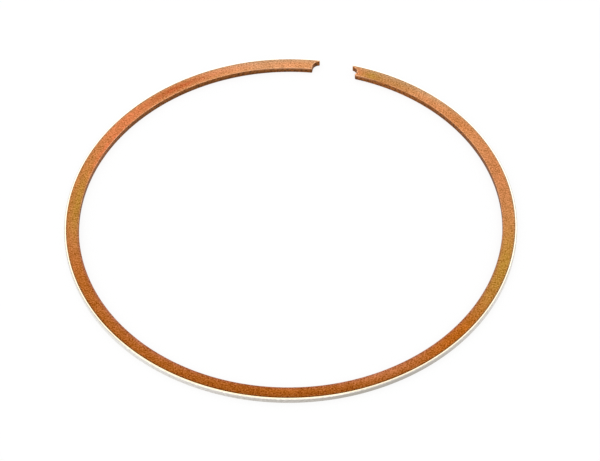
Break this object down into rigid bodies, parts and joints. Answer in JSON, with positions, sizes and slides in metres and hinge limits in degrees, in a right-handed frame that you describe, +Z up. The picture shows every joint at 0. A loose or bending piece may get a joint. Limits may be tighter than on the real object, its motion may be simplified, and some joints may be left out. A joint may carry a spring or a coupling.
{
  "type": "piston ring",
  "caption": "Split steel piston ring, sprung open, with a barrel-shaped chrome running face and a rounded peg notch in the inner corner of each end; seals a piston in its cylinder.",
  "frame": {"origin": "on the ring's axis (the centre of the long body arc), in the plane of the lower side", "axes": "+Z up along the ring's axis, +Y through the middle of the end gap, +X towards the right-hand end seen from above"},
  "size_m": [0.0738, 0.0734, 0.001],
  "materials": {
    "heat_tinted_steel": "ground, heat-tinted copper to bronze; bright hard chrome on the running face"
  },
  "bodies": {
    "root": {"ring": "heat_tinted_steel"}
  },
  "joints": []
}
